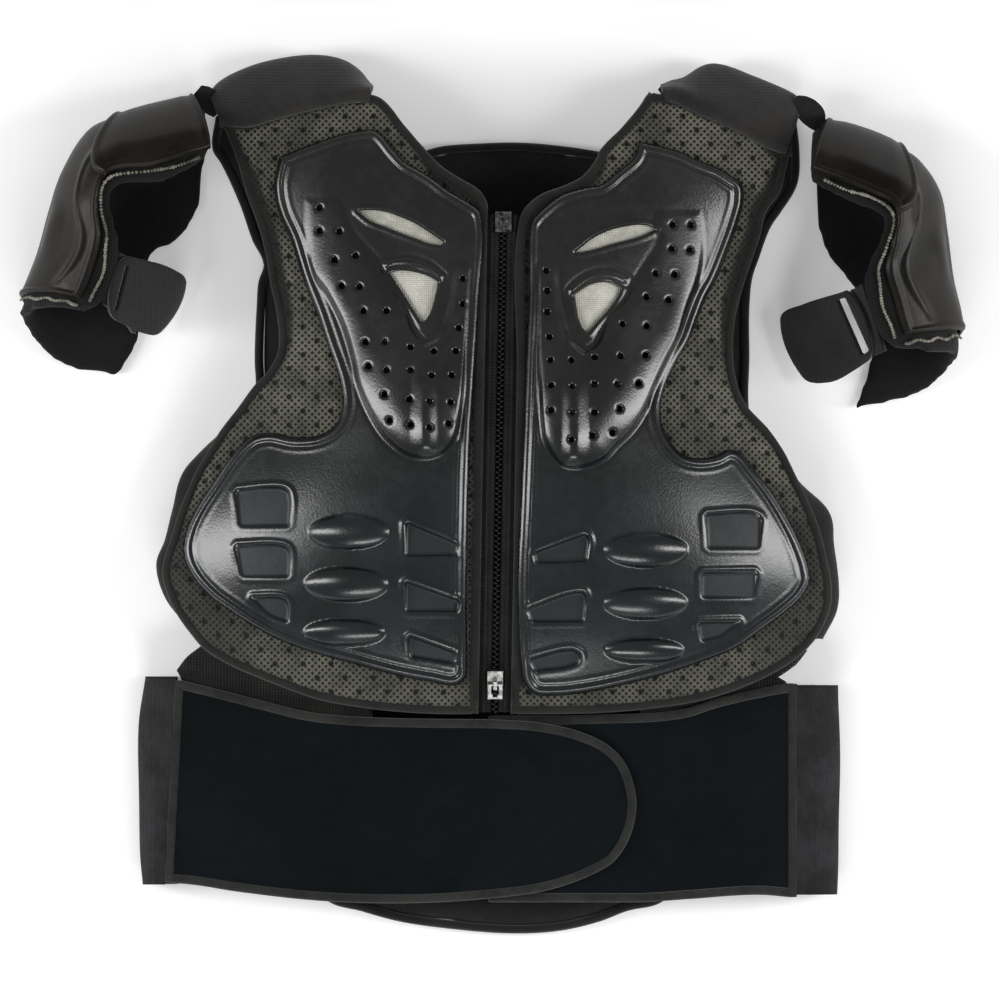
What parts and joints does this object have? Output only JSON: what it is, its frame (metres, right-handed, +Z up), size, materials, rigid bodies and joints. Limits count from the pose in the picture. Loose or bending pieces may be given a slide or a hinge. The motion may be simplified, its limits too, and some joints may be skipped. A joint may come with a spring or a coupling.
{
  "type": "armour vest",
  "caption": "Sleeveless padded armour vest, laid on its back: ribbed chest plates, mesh front panels, zip front, wide waist belt and folded arm guards.",
  "frame": {"origin": "on the flat underside of the back panel, near the middle of the vest", "axes": "+X to the viewer's right across the vest, +Y from waist to neck, +Z up from the surface through the chest"},
  "size_m": [0.5018, 0.4634, 0.0795],
  "materials": {
    "plate": "moulded hard plastic, satin gloss",
    "mesh": "padded diamond-knit mesh with punched holes",
    "binding": "folded woven binding tape",
    "cloth": "plain woven cloth over padding",
    "band": "smooth plain cloth",
    "plush": "looped pile of the hook-and-loop belt",
    "elastic": "wide knitted elastic",
    "insert": "pale breathable cloth",
    "silver": "bright plated metal",
    "dark": "moulded dark plastic"
  },
  "bodies": {
    "vest": {"front_panel_l": "mesh", "front_panel_r": "mesh", "front_binding_l": "binding", "front_binding_r": "binding", "chest_plate_l": "plate", "chest_plate_r": "plate", "vent_insert_l": "insert", "vent_insert_r": "insert", "back_panel": "cloth", "shoulder_band_l": "band", "shoulder_band_r": "band", "side_panel_l": "cloth", "side_panel_r": "cloth", "belt_gusset_l": "cloth", "belt_gusset_r": "cloth", "belt_flap_l": "plush", "belt_flap_r": "plush", "belt_trim_l": "binding", "belt_trim_r": "binding", "belt_back": "plush", "belt_elastic_l": "elastic", "belt_elastic_r": "elastic", "zip_tape_l": "binding", "zip_tape_r": "binding", "zip_teeth": "dark", "zip_slider": "silver", "zip_top_slider": "dark", "arm_pad_l": "cloth", "arm_pad_r": "cloth", "shoulder_shell_l": "plate", "shoulder_shell_r": "plate", "arm_shell_l": "plate", "arm_shell_r": "plate", "arm_strap_l": "cloth", "arm_strap_r": "cloth", "strap_flap_l": "cloth", "strap_flap_r": "cloth", "shoulder_tab_l": "band", "shoulder_tab_r": "band"},
    "zip_pull": {"zip_pull": "silver"}
  },
  "joints": [
    {"name": "zip_pull_hinge", "type": "hinge", "parent": "vest", "child": "zip_pull", "pos_m": [-0.00258, -0.10014, 0.05705], "axis": [-1, 0, 0], "range_deg": [0, 170]}
  ]
}
